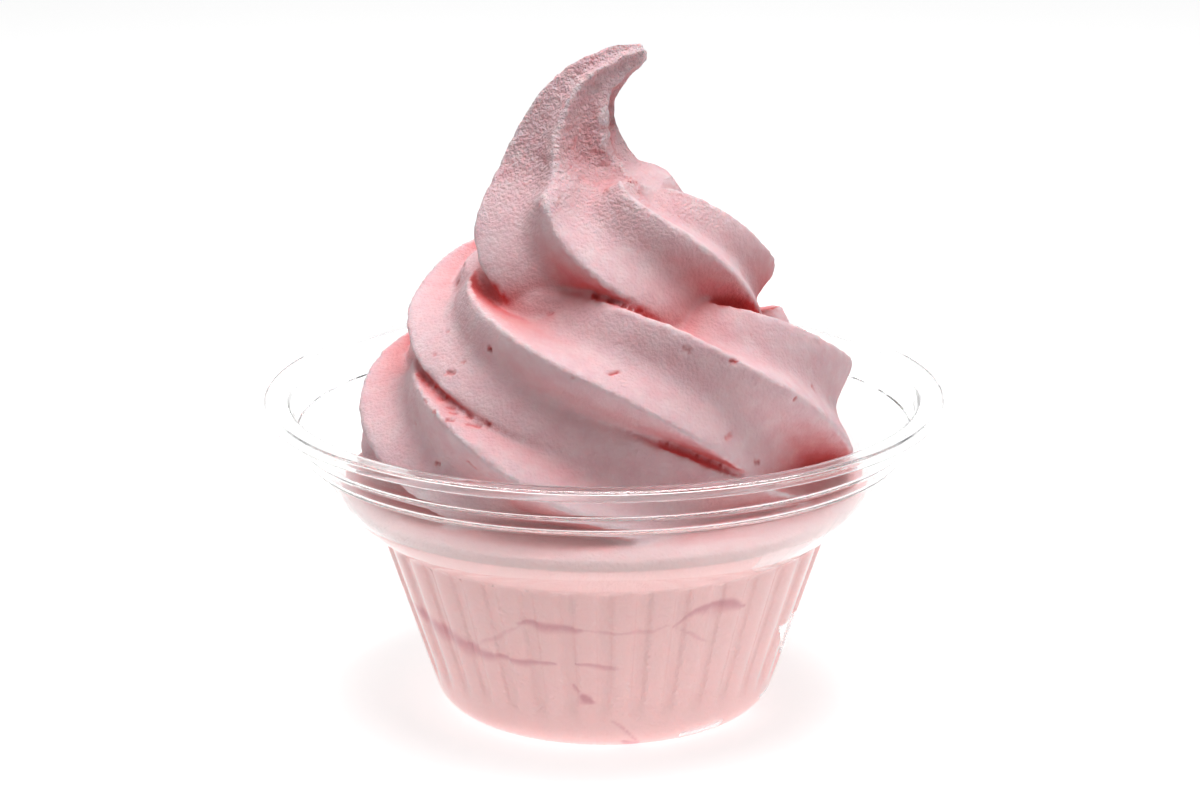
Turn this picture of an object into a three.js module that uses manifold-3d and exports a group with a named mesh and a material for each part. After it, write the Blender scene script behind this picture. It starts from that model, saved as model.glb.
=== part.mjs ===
// A clear plastic dessert cup holding one piped swirl of soft frozen yogurt.
// Millimetres, +Z up. The origin is the middle of the cup's flat underside.

import * as THREE from 'three';
import Module from 'manifold-3d';
import { mergeVertices } from 'three/addons/utils/BufferGeometryUtils.js';

const wasm = await Module();
wasm.setup();

// ---- driving dimensions: the cup -------------------------------------------

const LIP_HEIGHT = 47.0; // lower edge of the turned-out lip
const LIP_RADIUS = 50.5;
const WALL = 0.7;
const BASE_RADIUS = 21.8;
const BASE_CORNER = 4.0; // radius of the rounded edge round the base
const RIB_TOP = { r: 33.4, z: 26.7 }; // the ribbed wall ends here and the bowl starts
const BOWL_TOP = { r: 44.2, z: 40.2 }; // lower edge of the short band under the rim
const BAND_TOP = { r: 45.0, z: 42.8 };
const BOWL_BULGE = 1.1; // how far the flared bowl bows out from a straight cone
const STEP = 0.5; // small shoulder over the ribs
const FLUTES = 36;
const FLUTE_DEPTH = 0.5;
const RIB_START = 0.12; // the flutes fade in over this share of the wall's height
const POINTS_PER_FLUTE = 2; // one on the land, one in the groove

// ---- driving dimensions: the frozen yogurt ---------------------------------

const GAP = 0.3; // between the yogurt and the wall
const CRESTS = 6; // points of the star nozzle
const CREST_SOFTNESS = 0.12;
const FILL_TOP = 27.0; // where the pressed filling turns into the swirl
const CORE = [
  { r: 21.0, z: 36.0 },
  { r: 19.0, z: 46.0 },
  { r: 13.0, z: 55.0 },
  { r: 7.0, z: 66.0 },
]; // the solid middle that the tiers are wound round
const POINTS_PER_CREST = 4;
const TURN_STEP = 15; // degrees between sections of a tier
const SEGMENT_STEPS = 9; // a tier is swept in pieces much shorter than one turn, one step over each other
const PEAK_STEP = 3.0; // height between sections of the peak

// The strand at each quarter turn, from the top tier down. turn is the angle walked
// round the cup from its front, radius is from the cup's axis to the strand's middle,
// z its height, half its half width over the crests and twist the star's own angle.
const TIERS = [
  { turn: -105, radius: 5.0, z: 76.0, half: 7.0, twist: -41 },
  { turn: -60, radius: 7.5, z: 73.0, half: 12.0, twist: -40 },
  { turn: 0, radius: 11.0, z: 70.0, half: 12.8, twist: -38 },
  { turn: 90, radius: 13.4, z: 63.5, half: 12.2, twist: -35 },
  { turn: 180, radius: 16.8, z: 60.0, half: 12.0, twist: -29 },
  { turn: 270, radius: 18.4, z: 55.5, half: 11.8, twist: -22 },
  { turn: 360, radius: 21.0, z: 53.2, half: 12.8, twist: -14 },
  { turn: 450, radius: 24.8, z: 45.2, half: 12.4, twist: -24 },
  { turn: 540, radius: 26.0, z: 43.0, half: 12.3, twist: -24 },
  { turn: 630, radius: 24.6, z: 41.2, half: 12.5, twist: -22 },
  { turn: 720, radius: 23.4, z: 38.0, half: 12.3, twist: -25 },
  { turn: 810, radius: 21.8, z: 31.5, half: 12.0, twist: -28 },
  { turn: 900, radius: 20.6, z: 28.0, half: 12.0, twist: -32 },
];

// The peak over the top tier, from its root up to the hooked tip.
const PEAK = [
  { x: -5.6, y: -1.0, z: 68.0, half: 12.6, twist: -41 },
  { x: -5.2, y: -0.5, z: 79.5, half: 11.3, twist: -42 },
  { x: -4.6, y: 0.0, z: 86.0, half: 8.4, twist: -45 },
  { x: -2.8, y: 0.0, z: 93.5, half: 4.9, twist: -50 },
  { x: 1.2, y: 0.0, z: 97.8, half: 2.7, twist: -50 },
  { x: 6.2, y: 0.0, z: 100.9, half: 0.7, twist: -50 },
];
const VALLEY_DEPTH = 0.2; // share of the half width that a valley cuts in

// ---- shared helpers --------------------------------------------------------

const radians = THREE.MathUtils.degToRad;

// A smooth curve through the values that a list of stations holds under one name.
function along(stations, name, place) {
  const i = Math.min(Math.floor(place), stations.length - 2);
  const value = (j) => stations[THREE.MathUtils.clamp(j, 0, stations.length - 1)][name];
  const [a, b, c, d] = [value(i - 1), value(i), value(i + 1), value(i + 2)];
  const t = place - i;
  const bend = (2 * a - 5 * b + 4 * c - d) * t * t + (3 * (b - c) + d - a) * t * t * t;
  return b + 0.5 * ((c - a) * t + bend);
}

// The place in a list of stations where a rising value is reached.
function placeOf(stations, name, wanted) {
  let i = 0;
  while (i < stations.length - 2 && stations[i + 1][name] < wanted) i += 1;
  const from = stations[i][name];
  return i + (wanted - from) / (stations[i + 1][name] - from);
}

// How far out the six-pointed star reaches at an angle from one of its crests.
function starReach(angle) {
  const wave = Math.sin((CRESTS * angle) / 2);
  const rounded = Math.hypot(wave, CREST_SOFTNESS) - CREST_SOFTNESS;
  const deepest = Math.hypot(1, CREST_SOFTNESS) - CREST_SOFTNESS;
  return 1 - (VALLEY_DEPTH * rounded) / deepest;
}

// A closed mesh through rings of equally many points, with a fan over each end.
function ringMesh(rings) {
  const count = rings[0].length;
  const middle = (ring) => ring.reduce((sum, p) => sum.add(p), new THREE.Vector3()).divideScalar(count);
  const points = rings.flat();
  const first = points.push(middle(rings[0])) - 1;
  const last = points.push(middle(rings[rings.length - 1])) - 1;
  const faces = [];
  for (let i = 0; i < rings.length - 1; i += 1) {
    for (let j = 0; j < count; j += 1) {
      const k = (j + 1) % count;
      const [a, b, c, d] = [i * count + j, i * count + k, (i + 1) * count + k, (i + 1) * count + j];
      faces.push(a, b, c, a, c, d);
    }
  }
  const end = (rings.length - 1) * count;
  for (let j = 0; j < count; j += 1) {
    const k = (j + 1) % count;
    faces.push(first, k, j, last, end + j, end + k);
  }
  const geometry = new THREE.BufferGeometry().setFromPoints(points);
  geometry.setIndex(volumeOf(points, faces) < 0 ? faces.reverse() : faces);
  return geometry;
}

function volumeOf(points, faces) {
  let six = 0;
  for (let i = 0; i < faces.length; i += 3) {
    const [a, b, c] = [points[faces[i]], points[faces[i + 1]], points[faces[i + 2]]];
    six += a.dot(b.clone().cross(c));
  }
  return six;
}

function toSolid(geometry) {
  const merged = mergeVertices(geometry, 1e-4);
  return new wasm.Manifold(
    new wasm.Mesh({
      numProp: 3,
      vertProperties: new Float32Array(merged.attributes.position.array),
      triVerts: new Uint32Array(merged.index.array),
    }),
  );
}

function toGeometry(solid) {
  const mesh = solid.getMesh();
  const geometry = new THREE.BufferGeometry();
  geometry.setAttribute('position', new THREE.BufferAttribute(mesh.vertProperties, 3));
  geometry.setIndex(new THREE.BufferAttribute(mesh.triVerts, 1));
  return geometry;
}

// ---- the cup ---------------------------------------------------------------

// The outer face of the cup's wall from the base up to the band under the rim, moved
// inwards by inset. fluted is how deep the grooves are there.
function wallProfile(inset) {
  const slope = new THREE.Vector2(RIB_TOP.r - BASE_RADIUS - BASE_CORNER, RIB_TOP.z - BASE_CORNER);
  const foot = BASE_RADIUS + BASE_CORNER;
  const rib = (share) => ({
    r: foot + slope.x * share - inset,
    z: BASE_CORNER + slope.y * share,
    fluted: FLUTE_DEPTH,
  });
  const profile = [];
  for (const angle of [0, Math.PI / 4]) {
    const corner = BASE_CORNER - inset;
    profile.push({ r: BASE_RADIUS + corner * Math.sin(angle), z: BASE_CORNER - corner * Math.cos(angle), fluted: 0 });
  }
  profile.push(rib(RIB_START), rib(1));
  profile.push({ r: RIB_TOP.r + STEP - inset, z: RIB_TOP.z + STEP, fluted: 0 });
  const lowBowl = new THREE.Vector2(RIB_TOP.r + STEP, RIB_TOP.z + STEP);
  const highBowl = new THREE.Vector2(BOWL_TOP.r, BOWL_TOP.z);
  const out = highBowl.clone().sub(lowBowl).normalize();
  for (const share of [0.35, 0.7]) {
    const p = lowBowl.clone().lerp(highBowl, share);
    const bulge = BOWL_BULGE * Math.sin(Math.PI * share);
    const away = bulge - inset;
    profile.push({ r: p.x + out.y * away, z: p.y - out.x * away, fluted: 0 });
  }
  profile.push({ r: BOWL_TOP.r - inset, z: BOWL_TOP.z, fluted: 0 });
  profile.push({ r: BAND_TOP.r - inset, z: BAND_TOP.z, fluted: 0 });
  return profile;
}

function roundRing({ r, z, fluted }) {
  const ring = [];
  const count = FLUTES * POINTS_PER_FLUTE;
  for (let j = 0; j < count; j += 1) {
    const grooved = j % POINTS_PER_FLUTE === 0 ? fluted : 0;
    const angle = (2 * Math.PI * j) / count;
    ring.push(new THREE.Vector3((r - grooved) * Math.cos(angle), (r - grooved) * Math.sin(angle), z));
  }
  return ring;
}

function makeCup() {
  const lip = [
    { r: LIP_RADIUS - 3.6, z: LIP_HEIGHT - 0.4 },
    { r: LIP_RADIUS - 0.4, z: LIP_HEIGHT - 0.4 },
    { r: LIP_RADIUS, z: LIP_HEIGHT },
    { r: LIP_RADIUS - 2.0, z: LIP_HEIGHT + 1.0 },
    { r: LIP_RADIUS - 3.4, z: LIP_HEIGHT + 0.6 },
  ].map((point) => ({ ...point, fluted: 0 }));
  const outside = wallProfile(0);
  const inside = wallProfile(WALL).reverse();
  return ringMesh([...outside, ...lip, ...inside].map(roundRing));
}

// ---- the frozen yogurt -----------------------------------------------------

// One section of a tier, in the upright half plane through the cup's axis.
function tierSection(turn) {
  const place = placeOf(TIERS, 'turn', turn);
  const [radius, z, half, twist] = ['radius', 'z', 'half', 'twist'].map((n) => along(TIERS, n, place));
  const azimuth = radians(turn - 90);
  const count = CRESTS * POINTS_PER_CREST;
  const section = [];
  for (let j = 0; j < count; j += 1) {
    const crest = radians(twist) - azimuth;
    const round = crest + (2 * Math.PI * j) / count;
    const reach = half * starReach(round - crest);
    const out = Math.max(radius + reach * Math.cos(round), 0.3);
    section.push(new THREE.Vector3(out * Math.cos(azimuth), out * Math.sin(azimuth), z + reach * Math.sin(round)));
  }
  return section;
}

function makeTiers() {
  const first = TIERS[0].turn;
  const steps = Math.round((TIERS[TIERS.length - 1].turn - first) / TURN_STEP);
  const sections = [];
  for (let i = 0; i <= steps; i += 1) sections.push(tierSection(first + i * TURN_STEP));
  const pieces = [];
  for (let start = 0; start < steps; start += SEGMENT_STEPS) {
    pieces.push(toSolid(ringMesh(sections.slice(start, start + SEGMENT_STEPS + 2))));
  }
  return pieces;
}

function makePeak() {
  const bottom = PEAK[0].z;
  const top = PEAK[PEAK.length - 1].z;
  const steps = Math.round((top - bottom) / PEAK_STEP);
  const count = CRESTS * POINTS_PER_CREST;
  const rings = [];
  for (let i = 0; i <= steps; i += 1) {
    const place = placeOf(PEAK, 'z', bottom + ((top - bottom) * i) / steps);
    const [x, y, z, half, twist] = ['x', 'y', 'z', 'half', 'twist'].map((n) => along(PEAK, n, place));
    const ring = [];
    for (let j = 0; j < count; j += 1) {
      const round = (2 * Math.PI * j) / count;
      const reach = half * starReach(round);
      const angle = round + radians(twist);
      ring.push(new THREE.Vector3(x + reach * Math.cos(angle), y + reach * Math.sin(angle), z));
    }
    rings.push(ring);
  }
  return toSolid(ringMesh(rings));
}

// All the room inside the wall, less the gap, and open above the cup.
function makeRoom() {
  const profile = wallProfile(WALL + GAP).map((point) => ({ ...point, r: point.r - point.fluted, fluted: 0 }));
  profile.push({ r: BAND_TOP.r, z: LIP_HEIGHT + 60, fluted: 0 });
  return toSolid(ringMesh(profile.map(roundRing)));
}

function makeFilling() {
  const pressed = wallProfile(WALL + GAP).filter((point) => point.z < FILL_TOP);
  const rings = [...pressed, ...CORE].map((point) => roundRing({ ...point, fluted: 0 }));
  return toSolid(ringMesh(rings));
}

function makeYogurt() {
  const pieces = [makeFilling(), ...makeTiers(), makePeak()];
  const joined = pieces.reduce((sum, piece) => sum.add(piece)).intersect(makeRoom());
  const shells = joined.decompose().sort((a, b) => b.volume() - a.volume());
  return toGeometry(shells[0]); // the outer shell, so that air shut in between tiers is solid
}

// ---- the object ------------------------------------------------------------

const clearPlastic = new THREE.MeshStandardMaterial({
  color: 0xf6f7f8,
  roughness: 0.08,
  metalness: 0,
  transparent: true,
  opacity: 0.3,
});
const yogurtPink = new THREE.MeshStandardMaterial({ color: 0xe6b0b2, roughness: 0.75, metalness: 0 });

function named(name, geometry, material) {
  const mesh = new THREE.Mesh(geometry, material);
  mesh.name = name;
  return mesh;
}

const cupOfYogurt = new THREE.Group();
cupOfYogurt.add(named('cup', makeCup(), clearPlastic));
cupOfYogurt.add(named('frozen_yogurt', makeYogurt(), yogurtPink));

export default cupOfYogurt;
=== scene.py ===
"""Looks of the frozen yogurt cup: a clear ribbed cup round one piped swirl."""

from math import cos, pi, radians, sin

import bpy
import numpy as np
from mathutils import Matrix, Vector


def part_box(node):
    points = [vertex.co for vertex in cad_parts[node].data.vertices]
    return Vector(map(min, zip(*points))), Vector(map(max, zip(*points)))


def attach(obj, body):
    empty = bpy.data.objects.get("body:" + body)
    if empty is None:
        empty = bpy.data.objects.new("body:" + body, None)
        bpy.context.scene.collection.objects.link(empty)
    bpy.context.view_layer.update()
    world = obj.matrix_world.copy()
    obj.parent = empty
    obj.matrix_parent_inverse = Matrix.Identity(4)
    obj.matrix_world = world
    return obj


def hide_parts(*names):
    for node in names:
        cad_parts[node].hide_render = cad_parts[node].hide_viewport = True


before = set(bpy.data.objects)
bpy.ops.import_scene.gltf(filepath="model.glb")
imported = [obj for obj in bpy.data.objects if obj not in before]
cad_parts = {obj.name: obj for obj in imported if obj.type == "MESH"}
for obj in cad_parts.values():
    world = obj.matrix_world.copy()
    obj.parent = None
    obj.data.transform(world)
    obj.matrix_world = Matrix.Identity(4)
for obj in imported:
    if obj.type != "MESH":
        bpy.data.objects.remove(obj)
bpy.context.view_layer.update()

# Sizes are in millimetres from the middle of the cup's underside and become metres in
# mesh_object(). The frame sets the scale: the lip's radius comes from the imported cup.

MM = 0.001
CUP_LOW, CUP_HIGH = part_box("cup")
LIP_RADIUS = (CUP_HIGH[0] - CUP_LOW[0]) / 2 / MM
LIP_HEIGHT = (CUP_HIGH[2] - CUP_LOW[2]) / MM - 1.0

# ---- the cup's sizes -------------------------------------------------------

WALL = 0.55
HALF = WALL / 2
RIB_START, RIB_FULL, RIB_TOP = 5.0, 9.0, 27.8
FLUTES = 36
FLUTE_DEPTH = 0.45
FLUTE_SAMPLES = 14
PROFILE_STEP = 0.7
BOWL_LOW, BOWL_HIGH, BOWL_BULGE = np.array([34.1, 28.3]), np.array([44.0, 40.0]), 1.1

# The middle of the wall from the axis to the lip's edge: radius, height and how far a
# corner is rounded.
FOOT_LINE = [(0, HALF, 0), (24.3, HALF, 3.6), (33.45, RIB_TOP, 0.5), (*BOWL_LOW, 0.6)]
BAND_LINE = [(*BOWL_HIGH, 0.5), (45.0, 40.55, 0.5), (45.35, 42.4, 0.5), (46.2, 42.9, 0.5)]
LIP_LINE = [
    (LIP_RADIUS - 3.6, LIP_HEIGHT + 0.55, 0.7),
    (LIP_RADIUS - 0.35, LIP_HEIGHT + 1 - HALF, 0.5),
    (LIP_RADIUS - HALF, LIP_HEIGHT - 0.25, 0),
]

# ---- the strand's sizes ----------------------------------------------------

CRESTS = 6
CREST_SOFTNESS = 0.045
VALLEY_DEPTH = 0.27
BEND_SPREAD = 6.0
TIP_LENGTH = 14.0
STRAND_STEPS, STRAND_SIDES = 1500, 180

# Lines that the nozzle drew along the strand: their length in millimetres, how many times
# finer they are across it, and the height of the fine and the broad ones as a share of its
# half width.
STREAK_LENGTH, STREAK_FINENESS = 14.0, 8
STREAK_FINE, STREAK_BROAD = 0.007, 0.018

# Stations down the strand from the hooked tip: the angle walked round the cup from its
# front, the distance of the strand's middle from the axis, its height, its half width
# over the crests and the star's own angle.
STATIONS = np.array([
    (-90, -6.2, 98.9, 1.5, -50),
    (-90, -1.6, 96.8, 3.2, -50),
    (-90, 2.6, 92.8, 5.2, -50),
    (-90, 4.6, 86.6, 7.8, -47),
    (-86, 5.3, 81.0, 10.6, -38),
    (-72, 5.8, 76.0, 13.8, -31),
    (-40, 7.8, 72.0, 14.8, -32),
    (0, 10.4, 70.0, 13.4, -35),
    (45, 12.4, 67.2, 12.8, -32),
    (90, 13.6, 63.2, 12.5, -41),
    (180, 16.8, 59.6, 12.2, -35),
    (270, 18.0, 56.0, 12.4, -26),
    (360, 21.0, 54.0, 13.7, -18),
    (405, 23.1, 51.3, 13.9, -32),
    (450, 23.8, 45.0, 14.8, -32),
    (540, 25.6, 43.4, 12.6, -24),
    (630, 24.4, 43.5, 13.0, -26),
    (675, 24.2, 44.0, 13.8, -36),
    (700, 23.8, 42.8, 13.9, -40),
    (720, 23.2, 40.0, 13.55, -33),
    (765, 22.2, 35.0, 13.0, -24),
    (810, 22.3, 34.2, 12.4, -34),
    (900, 21.2, 28.0, 12.5, -34),
    (990, 20.5, 25.0, 12.4, -34),
    (1080, 20.3, 22.5, 12.2, -34),
    (1170, 19.5, 18.0, 12.0, -34),
], dtype=float)

# ---- what marks the yogurt's surface ---------------------------------------

# Grid size of the one skin that is drawn round the strand and the filling.
VOXEL = 0.42

# How the filling meets the cup: the height of its top edge, how near the wall it counts as
# touching and how far it then reaches in. Below SINKS_BELOW it sinks into the floor instead.
PRESSED_TOP = 33.5
TOUCHES_WITHIN, REACH_IN = 1.2, 0.12
SINKS_BELOW, SUNK_IN = 1.5, 0.15

# What stands back from the wall: the hollow at the lower right, the ragged foot beside it
# and the right side of the bowl. HOLLOW_EDGE is where the hollow starts: height and angle.
HOLLOW_DEPTH, RAGGED_DEPTH, SHRUNK_DEPTH = 3.0, 1.3, 2.6
HOLLOW_EDGE = [
    (0.5, -33), (2.0, -21), (3.5, -15), (6.5, -9), (11.7, -20), (15.0, -29), (17.0, 0),
]

# The filling above the pressed part as radius and height: the shoulder from the pressed
# part's top edge, then the core that closes every gap between the coils.
SHOULDER = [(-0.2, 1.0), (-2.0, 2.0), (-6.5, 3.2)]
CORE = [(26.0, 39.5), (22.0, 48.0), (22.0, 58.0), (21.9, 64.5), (20.5, 67.3), (17.0, 69.6)]
PEAK_CORE = [
    (12.4, 76.6), (10.6, 79.4), (9.6, 80.7), (7.6, 81.4),
    (5.6, 82.1), (4.1, 83.8), (3.1, 85.6), (1.9, 88.2),
]

# Where the peak bends out of the top coil: points that are blurred, how far round each and
# how many times.
BEND_LINE = [
    (-5.6, -13.0, 82.4), (-3.8, -10.6, 82.0), (-1.5, -9.6, 81.8),
    (1.2, -8.2, 82.0), (4.0, -10.2, 80.9), (4.4, -6.0, 80.9),
]
BEND_SIZE, BEND_ROUNDS = 3.6, 130

# The two crests that run up over the bend: x, y, z and how far they stand out.
RIDGES = [
    [
        (-6.9, -5.6, 90.2, 0.0),
        (-7.1, -8.0, 87.0, 0.25),
        (-7.2, -11.6, 83.4, 0.7),
        (-7.2, -14.2, 81.3, 0.7),
        (-7.6, -16.8, 79.2, 0.4),
        (-8.3, -18.6, 76.5, 0.2),
    ],
    [
        (-0.5, -3.0, 93.2, 0.2),
        (-0.1, -3.3, 91.2, 0.6),
        (0.15, -4.1, 88.2, 0.9),
        (1.4, -4.5, 83.8, 1.0),
        (3.2, -7.5, 80.9, 1.1),
        (4.9, -9.9, 79.1, 1.1),
        (6.4, -12.2, 77.6, 0.8),
        (8.4, -14.0, 76.0, 0.2),
    ],
]
RIDGE_WIDTH = 1.1

# Height, size and seed of the bumps: icy ones at the peak, fine ones below it, nicks on the
# crests and gentle waves all over.
ICY_BUMPS = [(0.05, 1.35, 31), (0.15, 0.85, 32)]
FINE_BUMPS = [(0.05, 0.9, 33)]
CREST_BUMPS = [(0.17, 1.3, 34)]
WAVES = [(0.10, 5.0, 35), (0.16, 11.0, 36)]
ICY_FROM, ICY_FULL = 76, 84

# Pits, slits and scrapes: angle round the cup, height, length, half width, lean and depth.
MARKS = [
    (-125, 60.6, 0.2, 0.36, 0, 0.5),
    (-136, 57.2, 0.9, 0.34, 10, 0.35),
    (-134, 58.7, 0.8, 0.18, 0, 0.25),
    (-144, 58.8, 0.2, 0.22, 0, 0.25),
    (-148, 61.2, 0.5, 0.18, 20, 0.2),
    (-87, 59.8, 1.5, 0.22, 0, 0.4),
    (-58, 60.4, 0.4, 0.42, 0, 0.55),
    (-69, 62.0, 0.9, 0.30, -30, 0.25),
    (-58, 49.8, 1.1, 0.32, 15, 0.25),
    (-48, 44.5, 1.3, 0.26, -20, 0.35),
    (-24, 52.5, 0.9, 0.20, 80, 0.35),
    (-43, 53.5, 0.4, 0.26, 60, 0.3),
    (-110, 65.6, 0.6, 0.18, 20, 0.25),
    (-98, 58.6, 0.2, 0.22, 0, 0.2),
    (-133, 44.8, 0.8, 0.20, 15, 0.3),
    (-122, 45.4, 1.3, 0.20, -40, 0.3),
    (-145, 48.8, 0.2, 0.22, 0, 0.25),
]
TORN_EDGE = [
    (-137 + 1.9 * i, 53.6 - 0.27 * i + 0.4 * sin(2.3 * i), 0.6, 0.26, -25, 0.3) for i in range(10)
]
STRAY_MARKS = 22

# Folds closed flat against the wall, shown by painted shade, a darker tint: strength, half
# width, and the points they pass through as an angle round the cup (front is -90) and a height.
# They lie about FOLD_RADIUS from the axis.
FOLD_RADIUS = 30.0
CREASES = [
    (0.45, 0.30, [(-128, 16.4), (-120, 18.7), (-112, 21.6)]),
    (0.9, 0.65, [(-113, 21.7), (-108, 22.0), (-100, 21.4), (-96, 21.2)]),
    (0.5, 0.25, [(-97, 21.2), (-86, 20.7), (-78, 21.0), (-73, 21.8)]),
    (0.7, 0.35, [(-72, 21.0), (-68, 22.9), (-64, 23.8)]),
    (1.0, 0.75, [(-67, 23.4), (-62, 24.1), (-56, 23.8), (-50, 22.6)]),
    (0.6, 0.28, [(-71, 21.2), (-66, 19.6), (-61, 17.8)]),
    (0.9, 1.30, [(-158, 18.6), (-148, 17.6), (-136, 16.1), (-124, 15.2)]),
    (0.9, 0.45, [(-125, 15.2), (-114, 15.0), (-104, 15.3)]),
    (0.8, 0.35, [(-98, 15.6), (-91, 15.2), (-86, 14.8)]),
    (0.8, 0.35, [(-99.5, 11.5), (-97, 10.4)]),
    (1.2, 0.70, [(-97, 10.2), (-94, 9.0)]),
    (0.7, 0.30, [(-88, 5.6), (-82, 3.2), (-78, 1.6)]),
    (1.0, 0.60, [(-84, 1.6), (-78, 1.2)]),
    (0.9, 0.70, [(20, 20.0), (40, 21.5), (62, 20.2), (80, 21.4)]),
    (0.8, 0.50, [(95, 13.0), (112, 12.2), (130, 13.6)]),
    (0.9, 0.80, [(150, 20.6), (165, 19.2), (184, 19.0)]),
]

# ---- colours and light -----------------------------------------------------

# The yogurt is pink with pale blotches. Painted shade: deep pink in the shelter of its valleys
# and in its pits, darker in its folds. Painted highlight: pale on its crests. What is
# pressed into the cup takes a warmer tint, paler as painted light from the table below.
PINK = (0.88, 0.625, 0.665)
PINK_PALE = (0.93, 0.740, 0.765)
PINK_SHADE = (0.71, 0.140, 0.140)
PINK_CREST_HIGHLIGHT = (0.93, 0.780, 0.800)
PINK_FOLD_SHADE = (0.74, 0.400, 0.430)
PINK_PRESSED_LIT = (0.92, 0.635, 0.625)

# How far shelter is felt, the share of open sky where the painted shade starts and is full,
# the crest value where the painted crest highlight starts and is full, and the heights between
# which gloss turns icy.
SHELTER = 14.0
OPEN_SHARE, CLOSED_SHARE = 0.93, 0.53
CREST_HIGHLIGHT_FROM, CREST_HIGHLIGHT_FULL, CREST_HIGHLIGHT_MOST = -0.08, -0.2, 0.6
MOTTLE_SIZE, SPECKLE_SIZE = 3.0, 0.5
SPARKLE_LOW, SPARKLE_HIGH = 74, 84
# Share of a white diffuse veil over the bowl: a painted reflection.
BOWL_VEIL = 0.03

# How bright the world and the table are seen, and how strongly they light. The table's
# values run from near the cup to far from it, between the two distances.
WORLD_SEEN = 1.05
WORLD_DIM, WORLD_BRIGHT = 0.0, 0.02
FLOOR_SEEN_NEAR, FLOOR_SEEN_FAR, SEEN_SPAN = 0.72, 0.83, (40, 300)
FLOOR_GLOW_NEAR, FLOOR_GLOW_FAR, GLOW_SPAN = 1.05, 0.10, (30, 190)
DISPLAY_GAMMA = 0.8

# Name, place, aim, size and power of the soft lamps, then of those that only gloss and the
# plastic show.
LAMPS = [
    ("overhead", (50, -60, 620), (0, 0, 50), (340, 260), 2.65),
    ("overhead_back", (0, 300, 560), (0, 0, 50), (420, 320), 0.6),
    ("overhead_front", (0, -420, 520), (0, 0, 50), (420, 320), 0.14),
    ("left", (-450, -60, 420), (0, 0, 50), (300, 300), 0.4),
    ("right_low", (420, -170, 60), (20, -10, 45), (220, 120), 0.27),
]
GLINTS = [
    ("rim_front", (-2.5, 600, 150), (0, 0, 48), (25, 90), 0.057),
    ("rim_right", (22, 600, 150), (0, 0, 48), (6, 90), 0.014),
    ("rim_line", (0, 200, 520), (0, 0, 48), (500, 60), 1.6),
]
BOUNCES = 24

# ---- helpers ---------------------------------------------------------------


def along(table, place):
    """Catmull-Rom curve through the rows of a table."""
    last = len(table) - 1
    i = np.clip(np.floor(place).astype(int), 0, last - 1)
    t = (place - i)[:, None]
    a, b = table[np.maximum(i - 1, 0)], table[i]
    c, d = table[i + 1], table[np.minimum(i + 2, last)]
    return b + 0.5 * ((c - a) * t + (2 * a - 5 * b + 4 * c - d) * t**2 + (3 * (b - c) + d - a) * t**3)


def smooth_step(low, high, value):
    share = np.clip((value - low) / (high - low), 0, 1)
    return share * share * (3 - 2 * share)


def bumps(points, size, seed):
    """Smooth lattice noise from -1 to 1 whose bumps are about size across."""
    side = 32
    lattice = np.random.default_rng(seed).uniform(-1, 1, (side, side, side))
    place = points / size
    low = np.floor(place).astype(int)
    share = place - low
    share = share * share * (3 - 2 * share)
    total = np.zeros(len(points))
    for corner in np.ndindex(2, 2, 2):
        weight = np.prod(np.where(corner, share, 1 - share), axis=1)
        total += weight * lattice[tuple(((low + corner) % side).T)]
    return total


def walked(line):
    """The length walked along a line of points, from 0 at its start."""
    return np.concatenate([[0], np.cumsum(np.linalg.norm(np.diff(line, axis=0), axis=1))])


def add_object(name, data):
    piece = bpy.data.objects.new(name, data)
    bpy.context.scene.collection.objects.link(piece)
    return piece


def mesh_object(name, points, faces, material, smooth=True):
    mesh = bpy.data.meshes.new(name)
    mesh.from_pydata((np.asarray(points) * MM).tolist(), [], [list(f) for f in faces])
    mesh.validate()
    mesh.update()
    mesh.polygons.foreach_set("use_smooth", [smooth] * len(mesh.polygons))
    mesh.materials.append(material)
    return add_object(name, mesh)


def solid_rings(ends, rings):
    """Points and faces of rings that follow each other, closed by a fan at each end."""
    count = rings.shape[1]
    j = np.arange(count)
    k = (j + 1) % count
    quads = [
        np.stack([i * count + j, i * count + k, (i + 1) * count + k, (i + 1) * count + j], 1)
        for i in range(len(rings) - 1)
    ]
    points = np.concatenate([rings.reshape(-1, 3), ends[:1], ends[-1:]])
    faces = np.concatenate(quads).tolist()
    last_ring = (len(rings) - 1) * count
    first, last = len(points) - 2, len(points) - 1
    for start, after in zip(j.tolist(), k.tolist()):
        faces.append((first, after, start))
        faces.append((last, last_ring + start, last_ring + after))
    return points, faces


# ---- the cup ---------------------------------------------------------------


def rounded(corners):
    """A line through corners given as radius, height and rounding, in short steps."""
    line = [np.array(corners[0][:2], float)]
    for before, corner, after in zip(corners, corners[1:], corners[2:]):
        at = np.array(corner[:2], float)
        back, on = np.array(before[:2]) - at, np.array(after[:2]) - at
        reach = min(corner[2], 0.5 * np.hypot(*back), 0.5 * np.hypot(*on))
        start, end = at + back / np.hypot(*back) * reach, at + on / np.hypot(*on) * reach
        for share in np.linspace(0, 1, 7 if reach > 0 else 1):
            line.append((1 - share) ** 2 * start + 2 * share * (1 - share) * at + share**2 * end)
    line.append(np.array(corners[-1][:2], float))
    stepped = [line[0]]
    for a, b in zip(line, line[1:]):
        count = max(1, int(np.ceil(np.hypot(*(b - a)) / PROFILE_STEP)))
        stepped += [a + (b - a) * i / count for i in range(1, count + 1)]
    return np.array(stepped)


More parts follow.
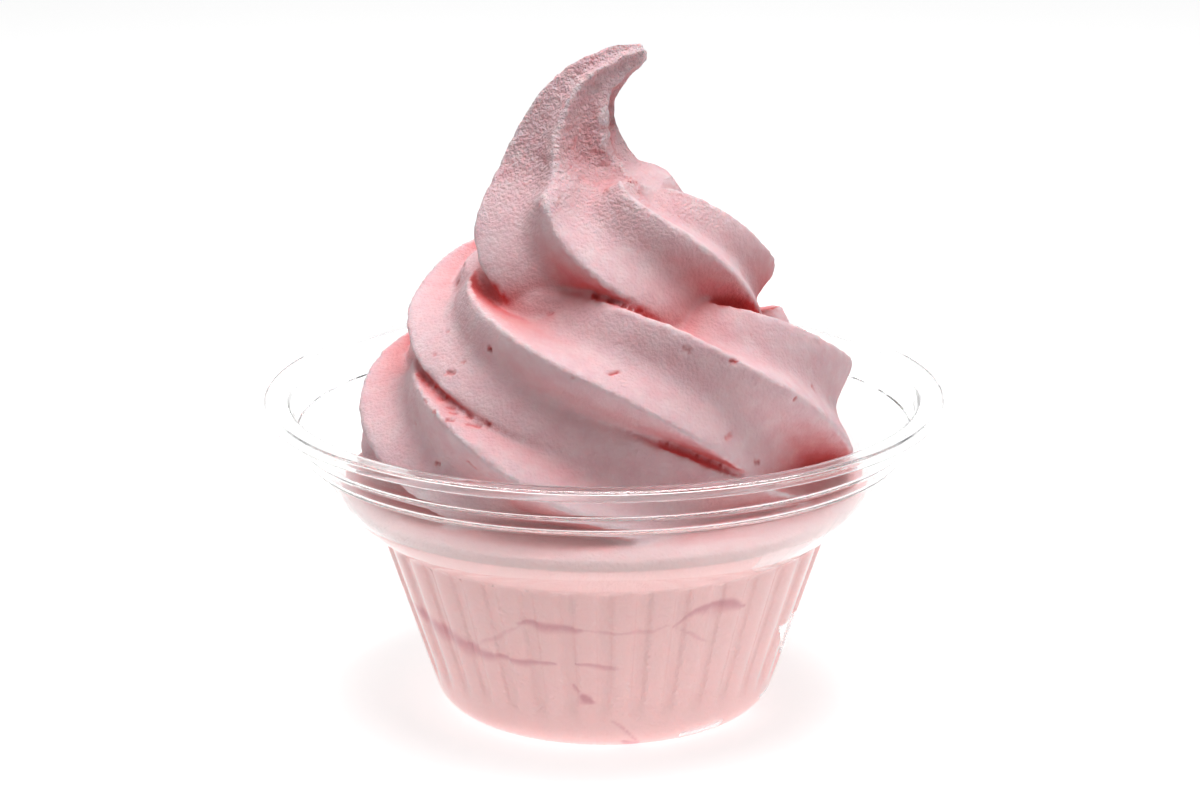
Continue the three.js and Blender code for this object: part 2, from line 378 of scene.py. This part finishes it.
def wall_middle():
    """The middle of the wall from the axis to the lip's edge as radii and heights."""
    way = (BOWL_HIGH - BOWL_LOW) / np.hypot(*(BOWL_HIGH - BOWL_LOW))
    out = np.array([way[1], -way[0]])
    bowl = [
        (*(BOWL_LOW + (BOWL_HIGH - BOWL_LOW) * share + out * BOWL_BULGE * sin(pi * share)), 0)
        for share in np.linspace(0, 1, 19)[1:-1]
    ]
    return rounded(FOOT_LINE + bowl + BAND_LINE + LIP_LINE)


def wall_side(side):
    """The wall's outer (1) or inner (-1) face as radii and heights."""
    middle = wall_middle()
    way = np.gradient(middle, axis=0)
    way /= np.hypot(way[:, 0], way[:, 1])[:, None]
    return middle + side * HALF * np.stack([way[:, 1], -way[:, 0]], 1)


def fluted_share(radius, height):
    """How much of the fluting shows at a place on the wall."""
    rising = smooth_step(RIB_START, RIB_FULL, height)
    ending = 1 - smooth_step(RIB_TOP - 0.6, RIB_TOP - 0.1, height)
    return np.where(radius < BOWL_LOW[0], rising * ending, 0)


def flute_shape(angle):
    """1 in the narrow grooves, 0 on the wide lands."""
    wave = (1 + np.cos(FLUTES * angle)) / 2
    return smooth_step(0.5, 0.8, wave)


def flute_angles():
    """Angles round the cup, closest together on the steep sides of the grooves."""
    fine = np.linspace(0, 2 * pi / FLUTES, 400)
    steep = np.abs(np.gradient(flute_shape(fine), fine))
    walked = np.cumsum(1 + 2.5 * steep / steep.mean())
    share = (walked - walked[0]) / (walked[-1] - walked[0])
    one = np.interp(np.arange(FLUTE_SAMPLES) / FLUTE_SAMPLES, share, fine)
    return (one[None, :] + 2 * pi * np.arange(FLUTES)[:, None] / FLUTES).ravel()


INNER_FACE = wall_side(-1)
INNER_FACE = INNER_FACE[INNER_FACE[:, 1] < BOWL_HIGH[1]]


def inner_radius(angle, height):
    """How far out the wall's inner face lies, flutes and all."""
    radius = np.interp(height, INNER_FACE[:, 1], INNER_FACE[:, 0])
    return radius - FLUTE_DEPTH * fluted_share(radius, height) * flute_shape(angle)


def make_cup(material):
    outer, inner = wall_side(1), wall_side(-1)
    middle = (outer[-1] + inner[-1]) / 2
    across = outer[-1] - middle
    along_wall = wall_middle()[-1] - wall_middle()[-2]
    along_wall *= HALF / np.hypot(*along_wall)
    turns = np.linspace(0, pi, 7)[1:-1]
    cap = [middle + across * cos(turn) + along_wall * sin(turn) for turn in turns]
    profile = np.concatenate([outer[1:], cap, inner[:0:-1]])
    angle = flute_angles()
    groove = flute_shape(angle)
    rings = []
    for radius, height in profile:
        reach = radius - FLUTE_DEPTH * float(fluted_share(radius, height)) * groove
        level = np.full(len(angle), height)
        rings.append(np.stack([reach * np.cos(angle), reach * np.sin(angle), level], 1))
    under_and_floor = np.array([(0, 0, 0), (0, 0, WALL)])
    points, faces = solid_rings(under_and_floor, np.array(rings))
    return mesh_object("clear_cup", points, faces, material)


# ---- the swirl -------------------------------------------------------------


def star_reach(angle):
    """The star's outline: 1 on its crests and VALLEY_DEPTH less in its valleys."""
    wave = np.hypot(np.sin(CRESTS * angle / 2), CREST_SOFTNESS) - CREST_SOFTNESS
    return 1 - VALLEY_DEPTH * wave / (np.hypot(1, CREST_SOFTNESS) - CREST_SOFTNESS)


def spread_bend(middle, tangent):
    """Directions that turn gently, so that the sections don't fold over at a bend."""
    way = walked(middle)
    step = 0.25
    even = np.arange(0, way[-1], step)
    kernel = np.exp(-0.5 * (np.arange(-3 * BEND_SPREAD, 3 * BEND_SPREAD + step, step) / BEND_SPREAD) ** 2)
    kernel /= kernel.sum()
    margin = len(kernel) // 2
    soft = np.empty_like(tangent)
    for axis in range(3):
        padded = np.pad(np.interp(even, way, tangent[:, axis]), margin, mode="edge")
        soft[:, axis] = np.interp(way, even, np.convolve(padded, kernel, mode="same")[margin:-margin])
    share = np.clip(way / TIP_LENGTH, 0, 1)[:, None]
    turned = tangent * (1 - share) + soft * share
    return turned / np.linalg.norm(turned, axis=1)[:, None]


def strand_rings(steps, count):
    """Rings of the star section, each turned from level to square with the path."""
    place = np.linspace(0, len(STATIONS) - 1, steps)
    turn, radius, height, half, twist = along(STATIONS, place).T
    azimuth = np.radians(turn - 90)
    middle = np.stack([radius * np.cos(azimuth), radius * np.sin(azimuth), height], 1)
    tangent = -np.gradient(middle, axis=0)
    tangent = spread_bend(middle, tangent / np.linalg.norm(tangent, axis=1)[:, None])
    angle = np.linspace(0, 2 * pi, count, endpoint=False)
    flat = np.stack([np.cos(angle), np.sin(angle), np.zeros(count)], 1)
    hinge = np.stack([-tangent[:, 1], tangent[:, 0], np.zeros(steps)], 1)
    once = np.cross(hinge[:, None, :], flat[None, :, :])
    twice = np.cross(np.broadcast_to(hinge[:, None, :], once.shape), once)
    outward = flat[None] + once + twice / (1 + tangent[:, 2])[:, None, None]
    reach = half[:, None] * star_reach(angle[None, :] - np.radians(twist)[:, None])
    return middle, middle[:, None, :] + (reach * streaks(middle, angle))[..., None] * outward


def streaks(middle, angle):
    """Fine lines drawn along the strand by the nozzle, as a share of its half width."""
    way = walked(middle)
    grid = np.stack([
        np.repeat(way / STREAK_LENGTH, len(angle)),
        np.tile(np.cos(angle) * STREAK_FINENESS, len(way)),
        np.tile(np.sin(angle) * STREAK_FINENESS, len(way)),
    ], 1)
    fine = bumps(grid, 1.0, 11).reshape(len(way), len(angle))
    broad = bumps(grid, 3.2, 12).reshape(len(way), len(angle))
    return 1 + STREAK_FINE * fine + STREAK_BROAD * broad


def round_rings(profile, count):
    angle = np.linspace(0, 2 * pi, count, endpoint=False)
    across, forward = np.cos(angle), np.sin(angle)
    return np.array([np.stack([r * across, r * forward, np.full(count, z)], 1) for r, z in profile])


def filling():
    """What is pressed into the foot, with a core up the middle that closes every gap."""
    heights = np.concatenate([[WALL, WALL + 0.6], np.arange(2, PRESSED_TOP, 0.8)])
    pressed = [(float(inner_radius(pi / FLUTES, z)), z) for z in heights]
    top = pressed[-1][0]
    shoulder = [(top + out, PRESSED_TOP + up) for out, up in SHOULDER]
    profile = pressed + shoulder + CORE + PEAK_CORE
    ends = np.array([(0, 0, profile[0][1]), (0, 0, profile[-1][1])], float)
    return solid_rings(ends, round_rings(profile, STRAND_SIDES))


def remeshed(points, faces, voxel):
    """One skin round everything that overlaps, as points and quads."""
    mesh = bpy.data.meshes.new("swirl_rough")
    mesh.from_pydata(points.tolist(), [], faces)
    piece = add_object("swirl_rough", mesh)
    remesh = piece.modifiers.new("skin", "REMESH")
    remesh.mode = "VOXEL"
    remesh.voxel_size = voxel
    remesh.adaptivity = 0
    soften = piece.modifiers.new("soften", "SMOOTH")
    soften.factor = 0.5
    soften.iterations = 1
    evaluated = piece.evaluated_get(bpy.context.evaluated_depsgraph_get()).to_mesh()
    out = np.empty(len(evaluated.vertices) * 3)
    evaluated.vertices.foreach_get("co", out)
    corners = np.empty(len(evaluated.loops), int)
    evaluated.loops.foreach_get("vertex_index", corners)
    starts = np.empty(len(evaluated.polygons), int)
    evaluated.polygons.foreach_get("loop_start", starts)
    totals = np.empty(len(evaluated.polygons), int)
    evaluated.polygons.foreach_get("loop_total", totals)
    quads = [corners[s:s + n].tolist() for s, n in zip(starts, totals)]
    piece.evaluated_get(bpy.context.evaluated_depsgraph_get()).to_mesh_clear()
    bpy.data.objects.remove(piece)
    bpy.data.meshes.remove(mesh)
    return out.reshape(-1, 3), quads


def distance_to_line(across, up, line):
    """Distance of each point from an open line, and the share walked along it."""
    best = np.full(len(across), 1e9)
    place = np.zeros(len(across))
    for i, ((x0, y0), (x1, y1)) in enumerate(zip(line, line[1:])):
        dx, dy = x1 - x0, y1 - y0
        share = np.clip(((across - x0) * dx + (up - y0) * dy) / (dx * dx + dy * dy), 0, 1)
        away = np.hypot(across - x0 - share * dx, up - y0 - share * dy)
        nearer = away < best
        best = np.where(nearer, away, best)
        place = np.where(nearer, (i + share) / (len(line) - 1), place)
    return best, place


def fold_shade_tint(points):
    """Painted shade in the folds against the wall: crisp along their upper edge and soft below it."""
    angle = np.degrees(np.arctan2(points[:, 1], points[:, 0]))
    height = points[:, 2] + 0.35 * bumps(points, 2.2, 21)
    per_degree = radians(1) * FOLD_RADIUS
    tint = np.zeros(len(points))
    for strong, half, line in CREASES:
        scaled = [(a * per_degree, z) for a, z in line]
        for shift in (0, 360):
            away, place = distance_to_line((angle - shift) * per_degree, height, scaled)
            level = np.interp(angle - shift, *np.array(sorted(line)).T)
            width = half * (0.45 + 0.75 * np.sin(pi * place)) * (1 + 0.5 * bumps(points, 3.0, 22))
            width = width * np.where(height > level, 0.7, 1.5)
            tint = np.maximum(tint, strong * np.exp(-(away / width) ** 2))
    return tint


def recess_depth(points):
    """How far the yogurt stands back from the wall on the right."""
    angle = np.degrees(np.arctan2(points[:, 1], points[:, 0]))
    height = points[:, 2] + 0.35 * bumps(points, 2.2, 21)
    edge = np.interp(height, *np.array(HOLLOW_EDGE).T)
    edge = edge + 4 * bumps(points, 3.5, 23)
    recess = smooth_step(0, 7, angle - edge) * (1 - smooth_step(50, 75, angle))
    recess = recess * (1 - smooth_step(15, 18, height))
    ragged = smooth_step(-70, -35, angle) * (1 - smooth_step(1.5, 4.5, height))
    ragged = ragged * np.clip(0.5 + 1.6 * bumps(points, 5.0, 24), 0, 1)
    shrunk = smooth_step(-60, -25, angle) * (1 - smooth_step(40, 80, angle)) * smooth_step(28, 31, height)
    return np.maximum(np.maximum(HOLLOW_DEPTH * recess, RAGGED_DEPTH * ragged), SHRUNK_DEPTH * shrunk)


def press_to_wall(points):
    """The filling's side reaches just into the wall, flutes and all."""
    angle = np.arctan2(points[:, 1], points[:, 0])
    radius = np.hypot(points[:, 0], points[:, 1])
    height = points[:, 2]
    wall = inner_radius(angle, height)
    touching = (radius > wall - TOUCHES_WITHIN) & (height < PRESSED_TOP - 0.4) & (height > SINKS_BELOW)
    new = np.where(touching | (radius > wall), wall + REACH_IN, radius)
    new = np.where(height < LIP_HEIGHT - 2, new, radius)
    back = np.where(touching, recess_depth(points), 0)
    new = new - np.where(back > 0.04, back, 0)
    points[:, :2] *= (new / np.maximum(radius, 1e-6))[:, None]
    low = height < SINKS_BELOW
    points[low, 2] = np.maximum(points[low, 2] - SUNK_IN, WALL - SUNK_IN)
    return points


def corners_of(faces):
    """The corner numbers of quads and triangles as one array, a triangle's last one twice."""
    return np.array([list(face) + [face[-1]] * (4 - len(face)) for face in faces])


def normals_of(points, quads):
    corner = [points[quads[:, c]] for c in range(4)]
    diagonal = np.cross(corner[2] - corner[0], corner[3] - corner[1])
    normals = np.stack([
        sum(np.bincount(quads[:, c], diagonal[:, axis], len(points)) for c in range(4))
        for axis in range(3)
    ], 1)
    return normals / np.maximum(np.linalg.norm(normals, axis=1), 1e-12)[:, None]


def blurred(values, quads, rounds):
    """Values at the corners, each round averaged with the neighbours'."""
    ends = np.concatenate([np.stack([quads[:, c], quads[:, (c + 1) % 4]], 1) for c in range(4)])
    count = len(values)
    share = np.bincount(ends[:, 0], minlength=count) + np.bincount(ends[:, 1], minlength=count)
    out = np.array(values, float)
    for _ in range(rounds):
        for axis in range(out.shape[1]):
            column = out[:, axis]
            total = np.bincount(ends[:, 0], column[ends[:, 1]], len(column))
            total += np.bincount(ends[:, 1], column[ends[:, 0]], len(column))
            out[:, axis] = 0.5 * column + 0.5 * total / share
    return out


def hollow_of(points, quads, normals, rounds):
    """How far a point lies below its blurred surroundings: over 0 in valleys, under 0 on crests."""
    return np.einsum("ij,ij->i", blurred(points, quads, rounds) - points, normals)


def bent_softly(points, quads):
    """Where the peak leaves the top coil: blurred, with the crests carried on over it."""
    away = np.linalg.norm(points[:, None, :] - np.array(BEND_LINE)[None], axis=2)
    soft = np.exp(-(away.min(axis=1) / BEND_SIZE) ** 4)[:, None]
    points = points * (1 - soft) + blurred(points, quads, BEND_ROUNDS) * soft
    normals = normals_of(points, quads)
    lift = np.zeros(len(points))
    for ridge in RIDGES:
        curve = along(np.array(ridge), np.linspace(0, len(ridge) - 1, 50))
        near = np.linalg.norm(points[:, None, :] - curve[None, :, :3], axis=2).argmin(axis=1)
        offset = points - curve[near, :3]
        inward = np.einsum("ij,ij->i", offset, normals)
        sideways = np.sqrt(np.maximum(np.einsum("ij,ij->i", offset, offset) - inward**2, 0))
        lift = np.maximum(lift, curve[near, 3] * np.exp(-sideways / RIDGE_WIDTH) * (np.abs(inward) < 3.5))
    return points + lift[:, None] * normals


def layered(points, layers):
    """Bumps of several heights and sizes on top of each other."""
    return sum(height * bumps(points, size, seed) for height, size, seed in layers)


def roughen(points, quads):
    """Uneven surface: icy grain at the peak, nicked crests and gentle waves all over."""
    normals = normals_of(points, quads)
    crest = smooth_step(0.02, 0.14, -hollow_of(points, quads, normals, rounds=12))
    icy = smooth_step(ICY_FROM, ICY_FULL, points[:, 2])
    pressed = 1 - smooth_step(PRESSED_TOP, PRESSED_TOP + 2, points[:, 2])
    out = icy * layered(points, ICY_BUMPS)
    out += (1 - icy) * layered(points, FINE_BUMPS)
    out += crest * layered(points, CREST_BUMPS)
    out += layered(points, WAVES)
    return points + (out * (1 - pressed))[:, None] * normals


def marked(points, normals):
    """How deep each point lies in a pit, slit or scrape."""
    angle = np.degrees(np.arctan2(points[:, 1], points[:, 0]))
    radius = np.hypot(points[:, 0], points[:, 1])
    outward = np.einsum("ij,ij->i", normals[:, :2], points[:, :2]) / np.maximum(radius, 1e-6)
    chance = np.random.default_rng(41)
    strays = [
        (a, z, length, half, lean, 0.3)
        for a, z, length, half, lean in zip(
            chance.uniform(-10, 190, STRAY_MARKS), chance.uniform(44, 74, STRAY_MARKS),
            chance.uniform(0.2, 1.4, STRAY_MARKS), chance.uniform(0.2, 0.36, STRAY_MARKS),
            chance.uniform(-60, 60, STRAY_MARKS))
    ]
    depth = np.zeros(len(points))
    for mark_angle, height, length, half, lean, deep in MARKS + TORN_EDGE + strays:
        turn = (angle - mark_angle + 180) % 360 - 180
        off = np.hypot(np.radians(turn) * radius, points[:, 2] - height)
        near = np.flatnonzero((off < 0.6) & (outward > 0))
        if len(near) == 0:
            continue
        k = near[np.argmax(radius[near])]
        across = np.cross((0, 0, 1), normals[k])
        across /= max(np.linalg.norm(across), 1e-6)
        up = np.cross(normals[k], across)
        way = across * cos(radians(lean)) + up * sin(radians(lean))
        offset = points - points[k]
        run = np.maximum(np.abs(offset @ way) - length / 2, 0)
        away = np.hypot(run, offset @ np.cross(normals[k], way))
        inside = smooth_step(1.5 * half, 0.5 * half, away) * (np.abs(offset @ normals[k]) < 1.5)
        depth = np.maximum(depth, deep * inside)
    return depth


def make_yogurt(material):
    points, faces = solid_rings(*strand_rings(STRAND_STEPS, STRAND_SIDES))
    more_points, more_faces = filling()
    faces = faces + [[i + len(points) for i in face] for face in more_faces]
    points, faces = remeshed(np.concatenate([points, more_points]), faces, VOXEL)
    quads = corners_of(faces)
    points = bent_softly(points, quads)
    points = roughen(points, quads)
    normals = normals_of(points, quads)
    pits = marked(points, normals)
    points = points - pits[:, None] * normals
    points = press_to_wall(points)
    piece = mesh_object("yogurt_swirl", points, faces, material)
    normals = normals_of(points, quads)
    crest = hollow_of(points, quads, normals, rounds=8)
    # Painted shade of the folds, below the pressed part's top.
    folds = fold_shade_tint(points) * (points[:, 2] < PRESSED_TOP)
    for name, values in (("crest", crest), ("pit", pits), ("fold", folds)):
        piece.data.attributes.new(name, "FLOAT", "POINT").data.foreach_set("value", values)
    return piece


# ---- materials -------------------------------------------------------------


def new_material(name):
    material = bpy.data.materials.new(name)
    material.use_nodes = True
    nodes = material.node_tree.nodes
    return material, nodes, material.node_tree.links, nodes["Principled BSDF"]


def math_node(nodes, links, operation, first, second):
    """A Math node fed by sockets or plain numbers."""
    node = nodes.new("ShaderNodeMath")
    node.operation = operation
    for slot, value in enumerate((first, second)):
        if isinstance(value, bpy.types.NodeSocket):
            links.new(value, node.inputs[slot])
        else:
            node.inputs[slot].default_value = value
    return node.outputs[0]


def map_range(nodes, links, value, low, high, to_low, to_high):
    node = nodes.new("ShaderNodeMapRange")
    links.new(value, node.inputs["Value"])
    node.inputs["From Min"].default_value = low
    node.inputs["From Max"].default_value = high
    node.inputs["To Min"].default_value = to_low
    node.inputs["To Max"].default_value = to_high
    return node.outputs["Result"]


def noise_node(nodes, links, place, size, detail=2.0):
    """Noise from 0 to 1 with bumps about size millimetres across."""
    node = nodes.new("ShaderNodeTexNoise")
    links.new(place, node.inputs["Vector"])
    node.inputs["Scale"].default_value = 1 / (size * MM)
    node.inputs["Detail"].default_value = detail
    return node.outputs["Fac"]


def attribute(nodes, name):
    node = nodes.new("ShaderNodeAttribute")
    node.attribute_name = name
    return node.outputs["Fac"]


def mix_colours(nodes, links, factor, first, second):
    node = nodes.new("ShaderNodeMix")
    node.data_type = "RGBA"
    links.new(factor, node.inputs["Factor"])
    for name, value in (("A", first), ("B", second)):
        socket = [i for i in node.inputs if i.name == name and i.type == "RGBA"][0]
        if isinstance(value, bpy.types.NodeSocket):
            links.new(value, socket)
        else:
            socket.default_value = (*value, 1)
    return [o for o in node.outputs if o.type == "RGBA"][0]


def yogurt_material():
    material, nodes, links, shader = new_material("frozen_yogurt_pink")
    place = nodes.new("ShaderNodeTexCoord").outputs["Object"]
    split = nodes.new("ShaderNodeSeparateXYZ")
    links.new(place, split.inputs[0])
    height = split.outputs["Z"]
    crest = attribute(nodes, "crest")
    open_sky = nodes.new("ShaderNodeAmbientOcclusion")
    open_sky.samples = 6
    open_sky.only_local = True
    open_sky.inputs["Distance"].default_value = SHELTER * MM

    # Painted shade: deep pink where the valleys and the gaps between the coils hide open sky.
    deep = map_range(nodes, links, open_sky.outputs["AO"], OPEN_SHARE, CLOSED_SHARE, 0, 1)
    # Painted highlight: paler pink along the sharp crests.
    crest_highlight = map_range(nodes, links, crest, CREST_HIGHLIGHT_FROM, CREST_HIGHLIGHT_FULL, 0, CREST_HIGHLIGHT_MOST)
    blotches = noise_node(nodes, links, place, MOTTLE_SIZE, 6.0)
    mottle = map_range(nodes, links, blotches, 0.3, 0.7, 0, 1)
    pressed = map_range(nodes, links, height, (PRESSED_TOP + 3) * MM, PRESSED_TOP * MM, 0, 1)
    colour = mix_colours(nodes, links, mottle, PINK, PINK_PALE)
    colour = mix_colours(nodes, links, deep, colour, PINK_SHADE)
    colour = mix_colours(nodes, links, crest_highlight, colour, PINK_CREST_HIGHLIGHT)
    # Pressed into the cup: a warmer tint, paler as painted light from the table below.
    colour = mix_colours(nodes, links, pressed, colour, PINK_PRESSED_LIT)
    # Painted shade: darker pink in the pits, slits and scrapes, by their depth.
    pit = map_range(nodes, links, attribute(nodes, "pit"), 0.05, 0.5, 0, 0.5)
    colour = mix_colours(nodes, links, pit, colour, PINK_SHADE)
    # Painted shade: darker along the folds against the wall.
    fold = map_range(nodes, links, attribute(nodes, "fold"), 0.1, 1.0, 0, 1)
    colour = mix_colours(nodes, links, fold, colour, PINK_FOLD_SHADE)
    links.new(colour, shader.inputs["Base Color"])

    speckle = noise_node(nodes, links, place, SPECKLE_SIZE, 3.0)
    links.new(map_range(nodes, links, speckle, 0.3, 0.7, 0.55, 0.85), shader.inputs["Roughness"])
    icy = map_range(nodes, links, height, SPARKLE_LOW * MM, SPARKLE_HIGH * MM, 0.3, 1.0)
    bump = nodes.new("ShaderNodeBump")
    bump.inputs["Distance"].default_value = 0.8 * MM
    links.new(icy, bump.inputs["Strength"])
    links.new(speckle, bump.inputs["Height"])
    links.new(bump.outputs[0], shader.inputs["Normal"])

    shader.inputs["IOR"].default_value = 1.35
    shader.inputs["Subsurface Weight"].default_value = 0.35
    shader.inputs["Subsurface Radius"].default_value = (1.0, 0.35, 0.3)
    shader.inputs["Subsurface Scale"].default_value = 0.0009
    return material


def plastic_material():
    """Clear plastic, through which lamps and the floor still light the yogurt."""
    material, nodes, links, shader = new_material("clear_plastic")
    shader.inputs["Base Color"].default_value = (1, 1, 1, 1)
    shader.inputs["IOR"].default_value = 1.57
    shader.inputs["Transmission Weight"].default_value = 1.0
    place = nodes.new("ShaderNodeTexCoord").outputs["Object"]
    split = nodes.new("ShaderNodeSeparateXYZ")
    links.new(place, split.inputs[0])
    ripple = noise_node(nodes, links, place, 9.0)
    links.new(map_range(nodes, links, ripple, 0.3, 0.7, 0.015, 0.045), shader.inputs["Roughness"])
    bump = nodes.new("ShaderNodeBump")
    bump.inputs["Strength"].default_value = 0.05
    bump.inputs["Distance"].default_value = 0.1 * MM
    links.new(ripple, bump.inputs["Height"])
    links.new(bump.outputs[0], shader.inputs["Normal"])
    clear = nodes.new("ShaderNodeBsdfTransparent")
    clear.inputs["Color"].default_value = (0.97, 0.97, 0.97, 1)
    path = nodes.new("ShaderNodeLightPath")
    lets_through = math_node(
        nodes, links, "MAXIMUM", path.outputs["Is Shadow Ray"], path.outputs["Is Diffuse Ray"])
    # Painted reflection: a white diffuse veil over the bowl, between its low and high edges.
    veil_white = nodes.new("ShaderNodeBsdfDiffuse")
    veil_white.inputs["Color"].default_value = (0.9, 0.9, 0.9, 1)
    veiled = nodes.new("ShaderNodeMixShader")
    low, high = BOWL_LOW[1] * MM, BOWL_HIGH[1] * MM
    over = map_range(nodes, links, split.outputs["Z"], low - 1.5 * MM, low + 0.5 * MM, 0, BOWL_VEIL)
    under = map_range(nodes, links, split.outputs["Z"], high, high + MM, 1, 0)
    links.new(math_node(nodes, links, "MULTIPLY", over, under), veiled.inputs[0])
    links.new(shader.outputs[0], veiled.inputs[1])
    links.new(veil_white.outputs[0], veiled.inputs[2])
    mix = nodes.new("ShaderNodeMixShader")
    links.new(lets_through, mix.inputs[0])
    links.new(veiled.outputs[0], mix.inputs[1])
    links.new(clear.outputs[0], mix.inputs[2])
    links.new(mix.outputs[0], nodes["Material Output"].inputs["Surface"])
    return material


# ---- stage, light and camera -----------------------------------------------


def make_floor():
    """White table whose glow lights the cup from below, strongest close to it."""
    material = bpy.data.materials.new("white_table")
    material.use_nodes = True
    nodes, links = material.node_tree.nodes, material.node_tree.links
    nodes.clear()
    out = nodes.new("ShaderNodeOutputMaterial")
    add = nodes.new("ShaderNodeAddShader")
    glow = nodes.new("ShaderNodeEmission")
    place = nodes.new("ShaderNodeTexCoord").outputs["Object"]
    length = nodes.new("ShaderNodeVectorMath")
    length.operation = "LENGTH"
    links.new(place, length.inputs[0])
    away = length.outputs["Value"]
    glow_from, glow_to = GLOW_SPAN[0] * MM, GLOW_SPAN[1] * MM
    seen_from, seen_to = SEEN_SPAN[0] * MM, SEEN_SPAN[1] * MM
    near = map_range(nodes, links, away, glow_from, glow_to, FLOOR_GLOW_NEAR, FLOOR_GLOW_FAR)
    shown = map_range(nodes, links, away, seen_from, seen_to, FLOOR_SEEN_NEAR, FLOOR_SEEN_FAR)
    lighting = nodes.new("ShaderNodeLightPath").outputs["Is Diffuse Ray"]
    gap = math_node(nodes, links, "SUBTRACT", near, shown)
    strength = math_node(nodes, links, "MULTIPLY", gap, lighting)
    links.new(math_node(nodes, links, "ADD", strength, shown), glow.inputs["Strength"])
    matt = nodes.new("ShaderNodeBsdfDiffuse")
    matt.inputs["Color"].default_value = (0.5, 0.5, 0.5, 1)
    links.new(glow.outputs[0], add.inputs[0])
    links.new(matt.outputs[0], add.inputs[1])
    links.new(add.outputs[0], out.inputs["Surface"])
    side = 3000.0
    points = [(-side, -side, 0), (side, -side, 0), (side, side, 0), (-side, side, 0)]
    floor = mesh_object("table", points, [(0, 1, 2, 3)], material, smooth=False)


def make_world():
    """A studio that is seen white but adds only a little light, from above and behind."""
    world = bpy.data.worlds.new("studio")
    bpy.context.scene.world = world
    world.use_nodes = True
    nodes, links = world.node_tree.nodes, world.node_tree.links
    back = nodes["Background"]
    back.inputs["Color"].default_value = (1, 1, 1, 1)
    path = nodes.new("ShaderNodeLightPath")
    turned = nodes.new("ShaderNodeVectorMath")
    turned.operation = "DOT_PRODUCT"
    links.new(nodes.new("ShaderNodeTexCoord").outputs["Generated"], turned.inputs[0])
    turned.inputs[1].default_value = (0, 0.55, 0.835)
    soft = map_range(nodes, links, turned.outputs["Value"], -0.6, 1.0, WORLD_DIM, WORLD_BRIGHT)
    gap = math_node(nodes, links, "SUBTRACT", soft, WORLD_SEEN)
    strength = math_node(nodes, links, "MULTIPLY", gap, path.outputs["Is Diffuse Ray"])
    links.new(math_node(nodes, links, "ADD", strength, WORLD_SEEN), back.inputs["Strength"])


def area_light(name, place, target, size, power):
    light = bpy.data.lights.new(name, "AREA")
    light.shape = "RECTANGLE"
    light.size, light.size_y = size[0] * MM, size[1] * MM
    light.energy = power
    lamp = add_object(name, light)
    lamp.location = Vector(place) * MM
    lamp.rotation_euler = (Vector(target) - Vector(place)).to_track_quat("-Z", "Y").to_euler()
    return lamp


def make_lights():
    for name, place, aim, size, power in LAMPS:
        area_light(name, place, aim, size, power).visible_camera = False
    for name, place, aim, size, power in GLINTS:
        lamp = area_light(name, place, aim, size, power)
        lamp.visible_diffuse = False
        lamp.visible_camera = False


def make_camera():
    lens, distance, elevation, roll = 105.0, 521.0, 16.2, -0.17
    centre = Vector((0, 0, LIP_HEIGHT))
    aim = Vector((-0.57, 0, LIP_HEIGHT - 0.68))
    back = Vector((0, -cos(radians(elevation)), sin(radians(elevation))))
    data = bpy.data.cameras.new("camera")
    data.lens = lens
    data.sensor_width = 36.0
    data.clip_start, data.clip_end = 0.01, 20
    camera = add_object("camera", data)
    place = (centre + back * distance) * MM
    turned = (aim * MM - place).to_track_quat("-Z", "Y").to_matrix().to_4x4()
    camera.matrix_world = Matrix.Translation(place) @ turned @ Matrix.Rotation(radians(roll), 4, "Z")
    bpy.context.scene.camera = camera


def main():
    make_camera()
    make_floor()
    make_world()
    make_lights()
    bpy.context.scene.view_settings.view_transform = "Standard"
    bpy.context.scene.view_settings.gamma = DISPLAY_GAMMA
    for kind in ("max", "glossy", "transmission", "transparent_max"):
        setattr(bpy.context.scene.cycles, kind + "_bounces", BOUNCES)

    cup = make_cup(plastic_material())
    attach(cup, "root")
    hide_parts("cup")

    yogurt = make_yogurt(yogurt_material())
    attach(yogurt, "root")
    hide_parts("frozen_yogurt")


main()
